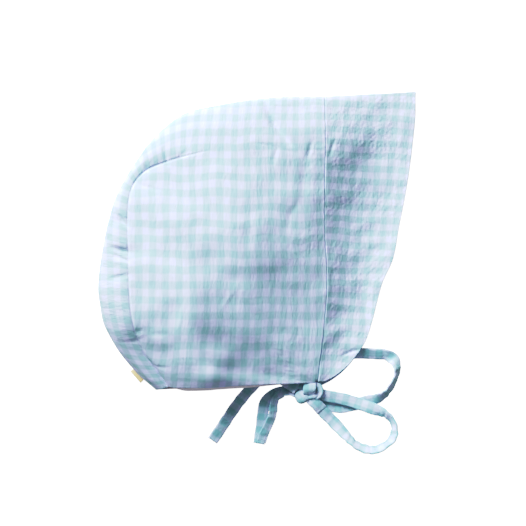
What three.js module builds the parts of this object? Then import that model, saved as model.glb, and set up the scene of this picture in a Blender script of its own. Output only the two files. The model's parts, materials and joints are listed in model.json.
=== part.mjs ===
// A baby's gingham sunbonnet, lying on its side as it rests on a table.
// Millimetres, +Z up. The crown points along +Y, the face opening and the brim point along +X, and the
// wearer's left side lies on the surface z = 0. The origin is the middle of the bonnet's footprint.
//
// The hood is one piece of cloth: two sides joined over the top, with a back strip whose seams run from
// the nape up to two points beside the crown. A plain lining follows it inside, a doubled brim is sewn
// round the face, and two ties leave the chin corners and meet in a bow.
import * as THREE from "three";

// Rows of numbers as objects, one property for each named column.
function table(names, rows) {
  return rows.map((row) => Object.fromEntries(names.map((name, column) => [name, row[column]])));
}

// Driving dimensions of the hood and its brim.
const HOOD_DEPTH = 137; // chin corner to the back of the crown
const HOOD_HEIGHT = 180; // chin corner to the fold over the top
const BRIM_WIDTH = 58; // front seam to the free edge, at the top
const LAID_HEIGHT = 44; // top of the upper side above the surface it lies on

// Cloth.
const SHELL_WALL = 1.0;
const LINING_WALL = 0.8;
const LINING_ROLL = 3; // how far the lining rolls out past the upper neck edge
const ROLL_FADE = 0.05; // the stretch of a section over which the roll ends at the back strip
const CLEARANCE = 0.3; // between pieces that are sewn together on the real bonnet
const BRIM_WALL = SHELL_WALL + CLEARANCE + LINING_WALL; // the doubled brim is as thick as hood and lining
const SEAM_DEPTH = 1.1; // how deep a seam draws the cloth in
const SEAM_REACH = 4.5; // how far from its line a seam draws the cloth in

// Label tab in the nape.
const LABEL_WIDTH = 10;
const LABEL_LENGTH = 9;
const LABEL_WALL = 0.8;
const LABEL_GAP = 0.2; // from the seam that it is sewn into
const LABEL_LIFT = 1.2; // above the surface
const LABEL_AT = { round: 0.07, along: 0.59 }; // its place round the hood and along a section

// Ties.
const TIE_WIDTH = 7.5;
const TIE_WALL = 1.6;
const KNOT_LENGTH = 15;
const KNOT_WIDTH = 12.5;
const KNOT_HEIGHT = 9;
const KNOT_AT = { x: -5.6, y: -7.2 }; // from the chin corner

// Fineness of the faceted cloth.
const CELLS = 10; // cells along each side of the square patch at a chin corner
const RING_STEPS = 26; // steps across the hood between the two chin patches
const BRIM_STEPS = 5;

// The chin corners, in the bonnet's own frame: x from the chin to the front, y up, z off the surface.
const CHIN_UPPER = { x: 0, y: 0, z: 0.2 * LAID_HEIGHT };
const CHIN_LOWER = { x: -0.012 * HOOD_DEPTH, y: 0.01 * HOOD_HEIGHT, z: 0 };

// Sections of the hood, fanned from the chin corners: the first is the neck edge and the last the front
// seam. backX and backY are the fold of the outline, seamX and seamY the upper seam of the back strip
// (past its point, the shoulder of the cloth), all as shares of HOOD_DEPTH and HOOD_HEIGHT. Heights are
// shares of LAID_HEIGHT: near the chin, at the middle of the side, at the seam and at the outline.
const SECTIONS = table(["backX", "backY", "seamX", "seamY", "chinZ", "midZ", "seamZ", "foldZ"], [
  [-0.745, -0.03, -0.682, -0.015, 0.36, 0.46, 0.42, 0.24],
  [-0.844, 0.04, -0.73, 0.035, 0.4, 0.59, 0.5, 0.3],
  [-0.932, 0.13, -0.794, 0.111, 0.45, 0.71, 0.63, 0.4],
  [-0.988, 0.236, -0.842, 0.229, 0.54, 0.82, 0.84, 0.57],
  [-0.997, 0.347, -0.855, 0.34, 0.62, 0.91, 0.92, 0.71],
  [-0.978, 0.458, -0.858, 0.444, 0.68, 0.96, 0.94, 0.78],
  [-0.944, 0.576, -0.862, 0.556, 0.73, 0.99, 0.95, 0.82],
  [-0.894, 0.681, -0.848, 0.664, 0.79, 0.99, 0.95, 0.85],
  [-0.811, 0.783, -0.79, 0.731, 0.79, 0.99, 0.95, 0.84],
  [-0.708, 0.876, -0.689, 0.766, 0.77, 0.98, 0.94, 0.79],
  [-0.601, 0.938, -0.579, 0.79, 0.72, 0.96, 0.94, 0.73],
  [-0.447, 0.965, -0.438, 0.814, 0.65, 0.91, 0.91, 0.67],
  [-0.283, 0.988, -0.278, 0.826, 0.57, 0.79, 0.84, 0.59],
  [-0.128, 0.997, -0.123, 0.823, 0.49, 0.65, 0.73, 0.5],
  [0.032, 1, 0.034, 0.813, 0.42, 0.52, 0.61, 0.42],
]);

// The places along a section where its control points lie: 0 is the upper chin corner and 1 the lower.
const AT = {
  chin: 0.175, mid: 0.275, seam: 0.39, shoulder: 0.47, fold: 0.535,
  heel: 0.575, turn: 0.62, flat: 0.79, low: 0.885,
};
const CHIN_SHARE = 0.45; // how far from the chin to the seam the first two control points lie
const MID_SHARE = 0.7;
const ROUND = 0.707; // the shoulder's place on the quarter turn from seam to fold
const HEEL_SHARE = 0.3; // the same for the smaller turn from the fold down to the surface
const TURN_INSET = 0.105; // how far in from the outline the lower side meets the surface, of HOOD_DEPTH
const PATCH = 0.14; // where the square chin patch ends along a section

// The seam of the back strip fades out between these places round the hood.
const SEAM_ENDS_FROM = 0.62;
const SEAM_ENDS_AT = 0.76;

// The strip's other seam comes into view at the nape: its place along a section at the neck edge, how
// fast it moves round the fold from there, and where it stops below it.
const LOWER_SEAM = { nape: 0.47, drift: 0.24, limit: 0.58 };

// The front seam bows forward between chin and crown, more and more from this place round the hood.
const FRONT_BOW = 0.029; // share of HOOD_DEPTH
const BOW_FROM = 0.7;

// Soft folds of the upper side: from (x, y) to (x2, y2) as shares of HOOD_DEPTH and HOOD_HEIGHT, with their
// width and their depth in millimetres, a negative depth being a ridge.
const FOLDS = [
  { x: -0.24, y: 0.96, x2: -0.13, y2: 0.83, wide: 5, deep: 1.4 },
  { x: -0.04, y: 0.8, x2: -0.14, y2: 0.6, wide: 8, deep: 2.2 },
  { x: -0.02, y: 0.62, x2: 0.0, y2: 0.42, wide: 12, deep: 3 },
  { x: -0.35, y: 0.1, x2: -0.12, y2: 0.36, wide: 12, deep: 2 },
  { x: -0.9, y: 0.16, x2: -0.78, y2: 0.165, wide: 4, deep: 2.2 },
  { x: -0.74, y: 0.15, x2: -0.62, y2: 0.02, wide: 6, deep: 1.6 },
  { x: -0.6, y: 0.12, x2: -0.52, y2: 0.42, wide: 10, deep: 1.2 },
];

// The brim's free edge against its seam: at is the place along the front seam from the chin (0) to the
// fold over the top (1), reach a share of BRIM_WIDTH forward, rise a share of HOOD_HEIGHT up, height a
// share of LAID_HEIGHT, and soon how early the brim falls to that height: 1 is a straight slope, more is
// steeper by the seam.
const BRIM_EDGE = table(["at", "reach", "rise", "height", "soon"], [
  [0, 0.066, 0.002, 0.19, 1.3],
  [0.045, 0.205, -0.021, 0.19, 1.6],
  [0.107, 0.343, -0.042, 0.18, 2],
  [0.17, 0.457, -0.047, 0.185, 2.2],
  [0.234, 0.514, -0.043, 0.19, 2.3],
  [0.293, 0.555, -0.042, 0.19, 2.3],
  [0.355, 0.616, -0.041, 0.2, 2.3],
  [0.422, 0.741, -0.031, 0.2, 2.3],
  [0.523, 0.828, -0.014, 0.19, 2.1],
  [0.611, 0.893, -0.007, 0.18, 1.8],
  [0.729, 0.953, 0, 0.17, 1.5],
  [0.879, 0.996, 0.007, 0.16, 1.3],
  [1, 1, 0.0226, 0.13, 1.3],
]);
const LOWER_BRIM_INSET = 0.03; // the lower half of the brim lies this much further in, of BRIM_WIDTH

// Routes of the ties, chosen by hand from the chin corner: x, y, z of the middle of the tie. Each tie runs
// from its chin corner into the knot, out in a loop, back into the knot and out again as a loose end.
const TIE_ROUTES = {
  tie_upper: [[-3.6, -0.8, 8.6], [-3.8, -2.6, 9.2], [-4.2, -4.9, 9.7]],
  tie_lower: [[-6.2, 0.9, 0.95], [-6.2, -0.5, 0.95], [-6.1, -2, 0.95]],
  tie_loop_low: [
    [2.5, -7.6, 4.4], [7.5, -8.9, 4.2], [13.5, -9.9, 3.8], [22, -12, 3.4], [29.2, -14.6, 3.1],
    [37.2, -17.4, 2.8], [43.4, -20, 2.6], [47.4, -24.4, 2.4], [49, -29.6, 2.2], [47.6, -35.4, 2],
    [43.4, -39.6, 1.8], [36.8, -42.6, 1.6], [30, -42, 1.4], [23.6, -38.8, 1.2], [18.4, -33.8, 1.2],
    [13.4, -28.4, 1.4], [8, -22.8, 2], [3.2, -17.9, 3.4], [0.2, -14.6, 4.6],
  ],
  tie_loop_high: [
    [0.4, -10.6, 1.9], [4.8, -13.2, 1.3], [10, -15.4, 0.95], [16, -15.8, 0.95], [24, -14.2, 0.95],
    [30.6, -12.2, 0.95], [37.6, -10.4, 1], [43.6, -6.8, 1], [48.4, 0, 1], [50.6, 7.4, 1], [49, 13.8, 1.2],
    [44, 17.4, 1.8], [37, 18, 2.8], [28, 18.4, 3.8], [19, 18.2, 4.3], [10, 15.4, 4.4], [3, 10.6, 4.4],
    [-1.6, 5, 4.4], [-3.2, 0.4, 4.4],
  ],
  tie_end_long: [
    [-12.7, -4.4, 6.2], [-16.6, -1.4, 5.8], [-21, 1.4, 5], [-26.6, 3.4, 4.3], [-32.4, 3.3, 3.9],
    [-37.4, 1, 3.9], [-41.6, -3, 3.8], [-45.6, -7.6, 3.2], [-50.4, -13.6, 2.2], [-56, -21.6, 1.5],
    [-61.4, -29.8, 1.2], [-66.4, -37, 1.2],
  ],
  tie_end_short: [
    [-13.5, -6.9, 3.2], [-18, -5.4, 2.6], [-23.4, -6, 2.3], [-28.6, -9, 2.2], [-32.2, -12.6, 2],
    [-33.6, -17.6, 1.6], [-34.2, -23.4, 1.3], [-35.4, -31.4, 1.2], [-36.8, -39, 1.2],
  ],
};
const TIE_STEP = 6.5; // length of one straight stretch of a tie

const COLOURS = {
  gingham: { color: 0xc3dee8, roughness: 0.88, metalness: 0 },
  lining: { color: 0xe9e6f2, roughness: 0.9, metalness: 0 },
  tie: { color: 0xb4d4de, roughness: 0.88, metalness: 0 },
  label: { color: 0xd9b55e, roughness: 0.75, metalness: 0 },
};

// Smooth interpolation through values at given places, with slopes from the neighbours. A slope is at most
// STEEPEST times the gentler rise beside it, so that a long stretch doesn't swing past a short one.
const STEEPEST = 2;

function interpolate(places, values, at) {
  const last = places.length - 1;
  let i = 0;
  while (i < last - 1 && at > places[i + 1]) i++;
  const rise = (a, b) => (values[b] - values[a]) / (places[b] - places[a]);
  const slope = (k) => {
    if (k === 0 || k === last) return rise(Math.max(0, k - 1), Math.min(last, k + 1));
    const [before, after] = [rise(k - 1, k), rise(k, k + 1)];
    if (before * after <= 0) return 0;
    const most = STEEPEST * Math.min(Math.abs(before), Math.abs(after));
    return Math.sign(before) * Math.min(Math.abs(rise(k - 1, k + 1)), most);
  };
  const span = places[i + 1] - places[i];
  const u = (at - places[i]) / span;
  const u2 = u * u;
  const u3 = u2 * u;
  return (
    (2 * u3 - 3 * u2 + 1) * values[i] +
    (u3 - 2 * u2 + u) * span * slope(i) +
    (3 * u2 - 2 * u3) * values[i + 1] +
    (u3 - u2) * span * slope(i + 1)
  );
}

const mix = (a, b, share) => a + (b - a) * share;

function smoothStep(from, to, value) {
  const u = Math.min(1, Math.max(0, (value - from) / (to - from)));
  return u * u * (3 - 2 * u);
}

// Where each section lies round the hood, from 0 at the neck to 1 at the front, by length along the outline.
const SECTION_AT = [0];
for (let k = 1; k < SECTIONS.length; k++) {
  const dx = (SECTIONS[k].backX - SECTIONS[k - 1].backX) * HOOD_DEPTH;
  const dy = (SECTIONS[k].backY - SECTIONS[k - 1].backY) * HOOD_HEIGHT;
  SECTION_AT.push(SECTION_AT[k - 1] + Math.hypot(dx, dy));
}
const OUTLINE_LENGTH = SECTION_AT[SECTIONS.length - 1];
SECTION_AT.forEach((length, k) => (SECTION_AT[k] = length / OUTLINE_LENGTH));

const ALONG = [0, AT.chin, AT.mid, AT.seam, AT.shoulder, AT.fold, AT.heel, AT.turn, AT.flat, AT.low, 1];

// The control points of one section, from the upper chin corner over the outline to the lower one.
function controlPoints(round) {
  const column = (name) => interpolate(SECTION_AT, SECTIONS.map((row) => row[name]), round);
  const place = (x, y, z) => {
    return { x: column(x) * HOOD_DEPTH, y: column(y) * HOOD_HEIGHT, z: column(z) * LAID_HEIGHT };
  };
  const fold = place("backX", "backY", "foldZ");
  const seam = place("seamX", "seamY", "seamZ");
  const bow = FRONT_BOW * smoothStep(BOW_FROM, 1, round) * HOOD_DEPTH;
  const between = (a, b, share, z) => ({ x: mix(a.x, b.x, share), y: mix(a.y, b.y, share), z });
  const chin = between(CHIN_UPPER, seam, CHIN_SHARE, column("chinZ") * LAID_HEIGHT);
  const mid = between(CHIN_UPPER, seam, MID_SHARE, column("midZ") * LAID_HEIGHT);
  chin.x += bow;
  mid.x += bow * (1 - MID_SHARE);
  const inward = Math.hypot(CHIN_LOWER.x - fold.x, CHIN_LOWER.y - fold.y);
  const turn = between(fold, CHIN_LOWER, (TURN_INSET * HOOD_DEPTH) / inward, 0);
  const flat = between(turn, CHIN_LOWER, CHIN_SHARE, 0);
  const low = between(turn, CHIN_LOWER, MID_SHARE, 0);
  flat.x += bow * (1 - MID_SHARE);
  low.x += bow;
  return [
    CHIN_UPPER,
    chin,
    mid,
    seam,
    between(seam, fold, ROUND, mix(fold.z, seam.z, ROUND)),
    fold,
    between(fold, turn, HEEL_SHARE, fold.z * HEEL_SHARE),
    turn,
    flat,
    low,
    CHIN_LOWER,
  ];
}

const sectionCache = new Map();
function section(round) {
  const key = round.toFixed(6);
  if (!sectionCache.has(key)) sectionCache.set(key, controlPoints(round));
  return sectionCache.get(key);
}

// The smooth cloth without seams or folds. round runs from neck to front, along from upper to lower chin.
function smoothHood(round, along) {
  const points = section(round);
  const axis = (name) => interpolate(ALONG, points.map((p) => p[name]), along);
  return new THREE.Vector3(axis("x"), axis("y"), Math.max(0, axis("z")));
}

const NUDGE = 1e-3;

// The outward normal of the smooth cloth.
function hoodNormal(round, along) {
  const r0 = Math.max(0, round - NUDGE);
  const r1 = Math.min(1, round + NUDGE);
  const a0 = Math.max(0, along - NUDGE);
  const a1 = Math.min(1, along + NUDGE);
  const across = smoothHood(r1, along).sub(smoothHood(r0, along));
  const forward = smoothHood(round, a1).sub(smoothHood(round, a0));
  return across.cross(forward).normalize();
}

// The depth of a dent whose middle line is this far away.
const dent = (distance, wide, deep) => deep * Math.exp(-((distance / wide) ** 2));

function distanceToLine(point, fold) {
  const ax = fold.x * HOOD_DEPTH;
  const ay = fold.y * HOOD_HEIGHT;
  const bx = fold.x2 * HOOD_DEPTH - ax;
  const by = fold.y2 * HOOD_HEIGHT - ay;
  const share = Math.min(1, Math.max(0, ((point.x - ax) * bx + (point.y - ay) * by) / (bx * bx + by * by)));
  return Math.hypot(point.x - ax - share * bx, point.y - ay - share * by);
}

// How far the seams and the folds draw the cloth in at a place.
function drawnIn(point, round, along) {
  const seamShare = 1 - smoothStep(SEAM_ENDS_FROM, SEAM_ENDS_AT, round);
  const upperSeam = smoothHood(round, AT.seam);
  const lowerSeam = smoothHood(round, Math.min(LOWER_SEAM.limit, LOWER_SEAM.nape + LOWER_SEAM.drift * round));
  const seamDent = (seam) => dent(point.distanceTo(seam), SEAM_REACH, SEAM_DEPTH);
  const onUpperSide = 1 - smoothStep(AT.shoulder, AT.fold, along);
  const folds = FOLDS.reduce((sum, fold) => sum + dent(distanceToLine(point, fold), fold.wide, fold.deep), 0);
  return seamShare * (seamDent(upperSeam) + seamDent(lowerSeam)) + onUpperSide * folds;
}

// A point of the hood's cloth, that far inside its outer face.
function hoodPoint(round, along, inside) {
  const point = smoothHood(round, along);
  const normal = hoodNormal(round, Math.min(1 - NUDGE, Math.max(NUDGE, along)));
  return point.addScaledVector(normal, -drawnIn(point, round, along) - inside);
}

// The places along a section between the two square chin patches.
const RING = [];
for (let k = 0; k <= RING_STEPS; k++) RING.push(mix(PATCH, 1 - PATCH, k / RING_STEPS));

// The grid of the hood: a square patch at each chin corner and rings between them.
function hoodGrid() {
  const places = [];
  const quads = [];
  const patch = (toAlong) => {
    const index = [];
    for (let i = 0; i <= CELLS; i++) {
      index.push([]);
      for (let j = 0; j <= CELLS; j++) {
        const far = Math.max(i, j) / CELLS;
        const round = i >= j ? (0.5 * j) / Math.max(i, 1) : 1 - (0.5 * i) / j;
        index[i].push(places.length);
        places.push({ round, along: toAlong(far) });
      }
    }
    return index;
  };
  const rimOf = (index) => {
    const rim = [];
    for (let j = 0; j <= CELLS; j++) rim.push(index[CELLS][j]);
    for (let i = CELLS - 1; i >= 0; i--) rim.push(index[i][CELLS]);
    return rim;
  };
  const upper = patch((far) => PATCH * far);
  const lower = patch((far) => 1 - PATCH * far);
  const rings = [rimOf(upper)];
  for (let k = 1; k < RING_STEPS; k++) {
    const ring = [];
    for (let m = 0; m <= 2 * CELLS; m++) {
      ring.push(places.length);
      places.push({ round: m / (2 * CELLS), along: RING[k] });
    }
    rings.push(ring);
  }
  rings.push(rimOf(lower));
  for (let i = 0; i < CELLS; i++)
    for (let j = 0; j < CELLS; j++) {
      quads.push([upper[i][j], upper[i + 1][j], upper[i + 1][j + 1], upper[i][j + 1]]);
      quads.push([lower[i][j], lower[i][j + 1], lower[i + 1][j + 1], lower[i + 1][j]]);
    }
  for (let k = 0; k < RING_STEPS; k++)
    for (let m = 0; m < 2 * CELLS; m++)
      quads.push([rings[k][m], rings[k + 1][m], rings[k + 1][m + 1], rings[k][m + 1]]);
  return { places, quads };
}

// A closed sheet of cloth between an outer and an inner face that share one grid of quads.
function sheet(outer, inner, quads) {
  const count = outer.length;
  const triangles = [];
  const borders = new Map();
  const edge = (a, b) => {
    if (borders.has(b + "_" + a)) borders.delete(b + "_" + a);
    else borders.set(a + "_" + b, [a, b]);
  };
  const face = (a, b, c) => {
    triangles.push(a, c, b, count + a, count + b, count + c);
    edge(a, b);
    edge(b, c);
    edge(c, a);
  };
  for (const [a, b, c, d] of quads) {
    face(a, b, c);
    face(a, c, d);
  }
  for (const [a, b] of borders.values()) {
    triangles.push(a, b, count + b);
    triangles.push(a, count + b, count + a);
  }
  const geometry = new THREE.BufferGeometry();
  const flat = [...outer, ...inner].flatMap((p) => [p.x, p.y, p.z]);
  geometry.setAttribute("position", new THREE.Float32BufferAttribute(flat, 3));
  geometry.setIndex(triangles);
  geometry.computeVertexNormals();
  return geometry;
}

// A closed sheet of the hood between two depths. roll says how far a place of the neck edge runs on past it.
function hoodSheet(insideFrom, insideTo, roll = () => 0) {
  const { places, quads } = hoodGrid();
  const layer = (inside) => places.map(({ round, along }) => {
    const point = hoodPoint(round, along, inside);
    const back = hoodPoint(round + NUDGE, along, inside);
    const past = round === 0 ? roll(along) : 0;
    return past > 0 ? point.add(point.clone().sub(back).setLength(past)) : point;
  });
  return sheet(layer(insideFrom), layer(insideTo), quads);
}

// Below the upper neck edge the lining rolls out of the hood, most towards the nape.
function liningRoll(along) {
  const share = smoothStep(0.02, AT.mid, along) * (1 - smoothStep(AT.seam - ROLL_FADE, AT.seam, along));
  return LINING_ROLL * share;
}

// The brim, sewn to the front seam of the hood.
function brimPoint(along, out, inside) {
  const seam = hoodPoint(1, along, inside);
  const upper = along <= AT.fold;
  const at = upper ? along / AT.fold : (1 - along) / (1 - AT.fold);
  const places = BRIM_EDGE.map((row) => row.at);
  const column = (name) => interpolate(places, BRIM_EDGE.map((row) => row[name]), at);
  const inset = upper ? 0 : LOWER_BRIM_INSET * smoothStep(0, 0.3, 1 - at);
  const edge = smoothHood(1, along);
  edge.x += (column("reach") - inset) * BRIM_WIDTH;
  edge.y += (column("rise") - inset) * HOOD_HEIGHT;
  const seamHeight = smoothHood(1, along).z;
  const topHeight = section(1)[ALONG.indexOf(AT.fold)].z;
  const turned = (seamHeight / topHeight) * BRIM_EDGE.at(-1).height; // the lower half, round from the fold
  edge.z = (upper ? column("height") : turned) * LAID_HEIGHT;
  const normal = hoodNormal(1, Math.min(1 - NUDGE, Math.max(NUDGE, along)));
  edge.addScaledVector(normal, -inside);
  const way = edge.clone().sub(seam).normalize();
  const start = seam.addScaledVector(way, CLEARANCE);
  const fall = 1 - (1 - out) ** column("soon");
  return new THREE.Vector3(mix(start.x, edge.x, out), mix(start.y, edge.y, out), mix(start.z, edge.z, fall));
}

function brimSheet() {
  const alongs = [];
  for (let j = 0; j < CELLS; j++) alongs.push((PATCH * j) / CELLS);
  alongs.push(...RING);
  for (let j = CELLS - 1; j >= 0; j--) alongs.push(1 - (PATCH * j) / CELLS);
  const quads = [];
  const width = BRIM_STEPS + 1;
  for (let k = 0; k < alongs.length - 1; k++)
    for (let w = 0; w < BRIM_STEPS; w++) {
      const corner = k * width + w;
      quads.push([corner, corner + width, corner + width + 1, corner + 1]);
    }
  const layer = (inside) => alongs.flatMap((along) => {
    const row = [];
    for (let w = 0; w <= BRIM_STEPS; w++) row.push(brimPoint(along, w / BRIM_STEPS, inside));
    return row;
  });
  return sheet(layer(0), layer(BRIM_WALL), quads);
}

// A tie is a flat turned tube: eight sides, swept along its route.
function tie(points) {
  const curve = new THREE.CatmullRomCurve3(points.map((p) => new THREE.Vector3(...p)), false, "centripetal");
  const half = { wide: TIE_WIDTH / 2, thick: TIE_WALL / 2 };
  const corner = 0.55;
  const outline = [
    [1, corner], [1 - half.thick / half.wide, 1], [half.thick / half.wide - 1, 1], [-1, corner],
    [-1, -corner], [half.thick / half.wide - 1, -1], [1 - half.thick / half.wide, -1], [1, -corner],
  ];
  const frame = curve.computeFrenetFrames(1, false);
  const flatNormal = Math.abs(frame.normals[0].z) < Math.abs(frame.binormals[0].z);
  const corners = outline.map(([w, t]) => {
    const [wide, thick] = [w * half.wide, t * half.thick];
    return flatNormal ? new THREE.Vector2(wide, thick) : new THREE.Vector2(thick, wide);
  });
  const shape = new THREE.Shape(corners);
  const steps = Math.max(2, Math.round(curve.getLength() / TIE_STEP));
  return new THREE.ExtrudeGeometry(shape, { steps, extrudePath: curve, bevelEnabled: false });
}

// The label lies under the fold beside the nape and points out from the far seam, level with the surface.
function labelTab() {
  const base = hoodPoint(LABEL_AT.round, LABEL_AT.along, 0);
  const out = hoodNormal(LABEL_AT.round, LABEL_AT.along).setZ(0).normalize();
  const tab = cloth("label_tab", new THREE.BoxGeometry(LABEL_LENGTH, LABEL_WIDTH, LABEL_WALL), "label");
  tab.position.copy(base).addScaledVector(out, LABEL_LENGTH / 2 + LABEL_GAP);
  tab.position.z = LABEL_WALL / 2 + LABEL_LIFT;
  tab.rotation.z = Math.atan2(out.y, out.x);
  return tab;
}

function cloth(name, geometry, look) {
  const mesh = new THREE.Mesh(geometry, new THREE.MeshStandardMaterial(COLOURS[look]));
  mesh.name = name;
  return mesh;
}

const bonnet = new THREE.Group();

bonnet.add(cloth("hood_shell", hoodSheet(0, SHELL_WALL), "gingham"));
bonnet.add(cloth("lining", hoodSheet(SHELL_WALL + CLEARANCE, BRIM_WALL, liningRoll), "lining"));
bonnet.add(cloth("brim", brimSheet(), "gingham"));
bonnet.add(labelTab());

for (const [name, points] of Object.entries(TIE_ROUTES)) bonnet.add(cloth(name, tie(points), "tie"));

const knot = cloth("bow_knot", new THREE.SphereGeometry(0.5, 14, 9), "tie");
knot.scale.set(KNOT_LENGTH, KNOT_WIDTH, KNOT_HEIGHT);
knot.position.set(KNOT_AT.x, KNOT_AT.y, KNOT_HEIGHT / 2);
bonnet.add(knot);

// The footprint's middle is the origin. The ties lie beyond it and don't count.
const footprint = new THREE.Box3();
for (const mesh of bonnet.children)
  if (!(mesh.name in TIE_ROUTES) && mesh !== knot) footprint.expandByObject(mesh, true);
const middle = footprint.getCenter(new THREE.Vector3());
bonnet.position.set(-middle.x, -middle.y, -footprint.min.z);

export default bonnet;
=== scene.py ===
"""A baby's gingham sunbonnet lying on its side on a pale surface, seen from straight above."""
import json
import math

import bpy
import numpy as np
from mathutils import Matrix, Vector

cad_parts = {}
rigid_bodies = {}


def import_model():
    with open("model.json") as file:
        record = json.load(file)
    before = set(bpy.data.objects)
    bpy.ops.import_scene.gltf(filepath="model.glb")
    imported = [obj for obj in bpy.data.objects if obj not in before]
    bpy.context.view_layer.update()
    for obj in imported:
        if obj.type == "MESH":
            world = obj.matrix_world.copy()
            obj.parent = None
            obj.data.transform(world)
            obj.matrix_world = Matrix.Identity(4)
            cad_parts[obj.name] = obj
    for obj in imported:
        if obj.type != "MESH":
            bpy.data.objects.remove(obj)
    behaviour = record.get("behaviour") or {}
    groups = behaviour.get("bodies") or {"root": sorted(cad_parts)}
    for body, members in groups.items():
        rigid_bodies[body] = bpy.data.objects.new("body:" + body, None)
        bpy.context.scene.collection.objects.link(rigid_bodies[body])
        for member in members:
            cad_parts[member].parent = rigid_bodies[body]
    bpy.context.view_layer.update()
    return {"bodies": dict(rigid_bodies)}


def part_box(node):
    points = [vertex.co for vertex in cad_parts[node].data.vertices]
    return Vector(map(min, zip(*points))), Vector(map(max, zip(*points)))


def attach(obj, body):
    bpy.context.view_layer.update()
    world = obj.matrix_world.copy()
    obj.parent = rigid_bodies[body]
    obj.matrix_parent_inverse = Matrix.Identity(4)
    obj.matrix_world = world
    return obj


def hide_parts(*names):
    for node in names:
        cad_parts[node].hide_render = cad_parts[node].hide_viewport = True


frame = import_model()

MM = 0.001
BODY = next(iter(frame["bodies"]))

# The bonnet's sizes in millimetres, as the solids have them. Its cloth is worked out from the chin corner.
HOOD_DEPTH = 137.0
HOOD_HEIGHT = 180.0
BRIM_WIDTH = 58.0
LAID_HEIGHT = 44.0
LINING_ROLL = 3.0
CLEARANCE = 0.3
KNOT_FROM_CHIN = (-5.6, -7.2)
knot_low, knot_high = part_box("bow_knot")
CHIN = np.array([
    (knot_low.x + knot_high.x) / 2 - KNOT_FROM_CHIN[0] * MM,
    (knot_low.y + knot_high.y) / 2 - KNOT_FROM_CHIN[1] * MM,
    0.0,
])

# The view: straight down. The picture is 526 units wide and high, and the middle of the cloth's height
# is drawn at 0.625 mm a unit.
PICTURE = 526
UNIT = 0.625
CHIN_SEEN = (318.0, 384.0)
EYE_HEIGHT = 1400.0
TRUE_LEVEL = 22.0
SENSOR = 36.0
EYE = np.array([(PICTURE / 2 - CHIN_SEEN[0]) * UNIT, (CHIN_SEEN[1] - PICTURE / 2) * UNIT, EYE_HEIGHT])


def make_camera():
    data = bpy.data.cameras.new("camera")
    data.sensor_width = SENSOR
    data.lens = SENSOR * (EYE_HEIGHT - TRUE_LEVEL) / (PICTURE * UNIT)
    camera = bpy.data.objects.new("camera", data)
    camera.location = CHIN + EYE * MM
    bpy.context.scene.collection.objects.link(camera)
    bpy.context.scene.camera = camera


def seen(points):
    """Where the camera above sees points given in millimetres from the chin, in units of the picture."""
    scale = (EYE_HEIGHT - TRUE_LEVEL) / (EYE_HEIGHT - points[..., 2]) / UNIT
    return (
        PICTURE / 2 + (points[..., 0] - EYE[0]) * scale,
        PICTURE / 2 - (points[..., 1] - EYE[1]) * scale,
    )


# Small helpers.
def mix(a, b, share):
    return a + (b - a) * share


def smooth_step(low, high, value):
    u = np.clip((value - low) / (high - low), 0, 1)
    return u * u * (3 - 2 * u)


STEEPEST = 2.0


def interpolate(places, values, at, steepest=STEEPEST):
    """Smooth values at the places asked for, with slopes from the neighbours. values may be an array. A
    slope is at most steepest times the gentler rise beside it, so that a long stretch doesn't swing past a
    short one, and steepest None sets no limit."""
    places, values, at = (np.asarray(x, float) for x in (places, values, at))
    last = len(places) - 1
    i = np.clip(np.searchsorted(places, at, side="left") - 1, 0, last - 1)
    wide = (slice(None),) + (None,) * (values.ndim - 1)
    rise = np.diff(values, axis=0) / np.diff(places)[wide]
    before, after = rise[:-1], rise[1:]
    inner = (values[2:] - values[:-2]) / (places[2:] - places[:-2])[wide]
    if steepest:
        most = steepest * np.minimum(np.abs(before), np.abs(after))
        inner = np.where(before * after <= 0, 0, np.sign(before) * np.minimum(np.abs(inner), most))
    slope = np.concatenate([rise[:1], inner, rise[-1:]])
    span = (places[i + 1] - places[i])[wide]
    u = (at - places[i])[wide] / span
    return (
        (2 * u**3 - 3 * u**2 + 1) * values[i]
        + (u**3 - 2 * u**2 + u) * span * slope[i]
        + (3 * u**2 - 2 * u**3) * values[i + 1]
        + (u**3 - u**2) * span * slope[i + 1]
    )


def unit(vectors):
    return vectors / np.maximum(np.linalg.norm(vectors, axis=-1, keepdims=True), 1e-9)


def waves(x, y, length, seed, way=0.0, spread=math.pi, count=28):
    """Soft random ripples about 1 high. Their crests lie near the angle way, and length is the distance
    from crest to crest."""
    rng = np.random.RandomState(seed)
    total = np.zeros_like(x)
    for _ in range(count):
        angle = way + math.pi / 2 + rng.uniform(-spread, spread)
        k = 2 * math.pi / (length * rng.uniform(0.75, 1.35))
        total += np.cos(k * (x * math.cos(angle) + y * math.sin(angle)) + rng.uniform(0, 2 * math.pi))
    return total / math.sqrt(count / 2)


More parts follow.
